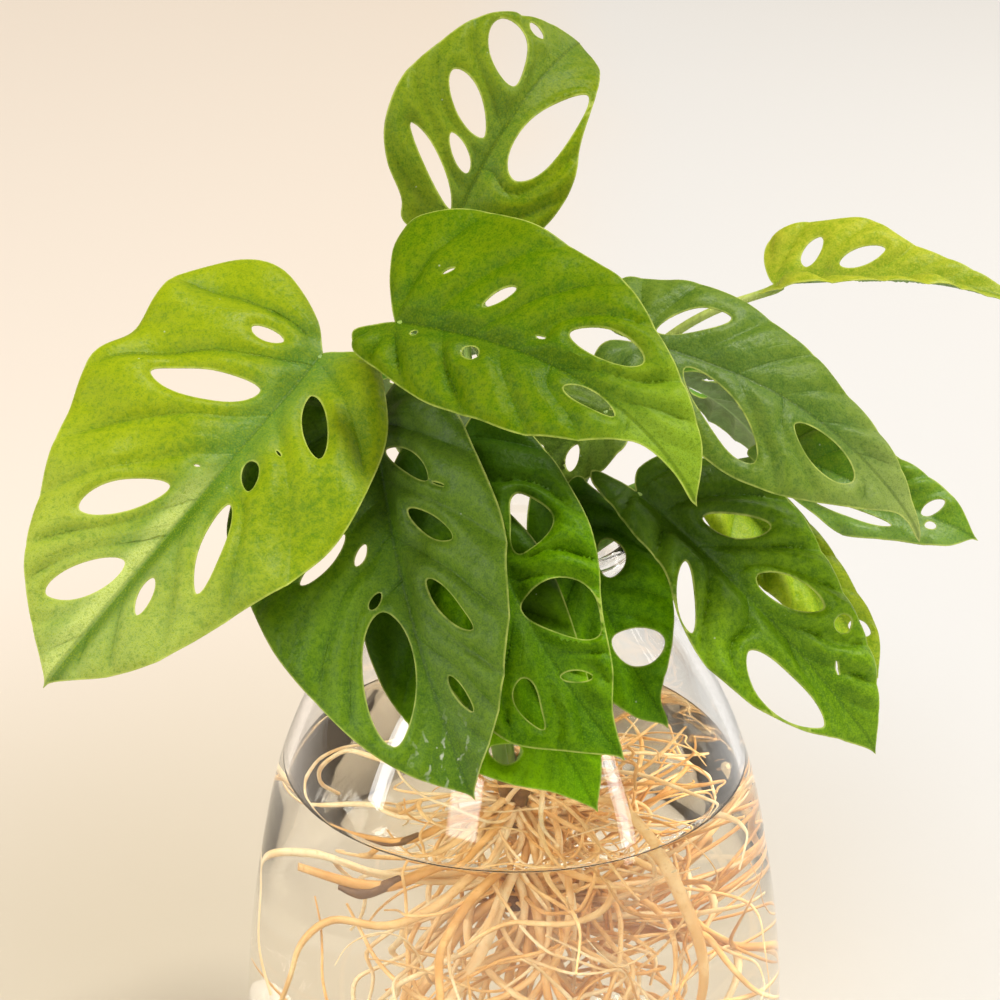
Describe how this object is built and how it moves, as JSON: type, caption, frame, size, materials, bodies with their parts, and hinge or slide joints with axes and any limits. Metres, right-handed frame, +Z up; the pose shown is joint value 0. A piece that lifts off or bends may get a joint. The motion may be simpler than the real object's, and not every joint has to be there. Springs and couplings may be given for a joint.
{
  "type": "monstera adansonii",
  "caption": "Monstera adansonii cuttings with pierced heart-shaped leaves on long stalks, rooting in a clear glass bottle vase of water.",
  "frame": {"origin": "centre of the round flat face that the vase stands on", "axes": "+Z up along the vase's axis; -Y towards the front of the plant, which the picture shows; +X to the right as seen from the front"},
  "size_m": [0.2683, 0.192, 0.3672],
  "materials": {
    "clear_glass": "polished",
    "water": "polished",
    "root_tan": "satin",
    "stem_green": "satin",
    "leaf_lime": "satin",
    "leaf_green": "satin",
    "leaf_dark": "satin"
  },
  "bodies": {
    "root": {"vase": "clear_glass", "water": "water", "roots": "root_tan", "vine_1": "stem_green", "vine_2": "stem_green", "vine_3": "stem_green", "vine_4": "stem_green", "leaf_01": "leaf_lime", "leaf_02": "leaf_green", "leaf_03": "leaf_green", "leaf_04": "leaf_green", "leaf_05": "leaf_lime", "leaf_06": "leaf_dark", "leaf_07": "leaf_dark", "leaf_08": "leaf_dark", "leaf_09": "leaf_dark", "leaf_10": "leaf_dark", "leaf_11": "leaf_lime", "leaf_12": "leaf_green", "leaf_13": "leaf_dark", "leaf_14": "leaf_green", "leaf_15": "leaf_green", "leaf_16": "leaf_green"}
  },
  "joints": []
}
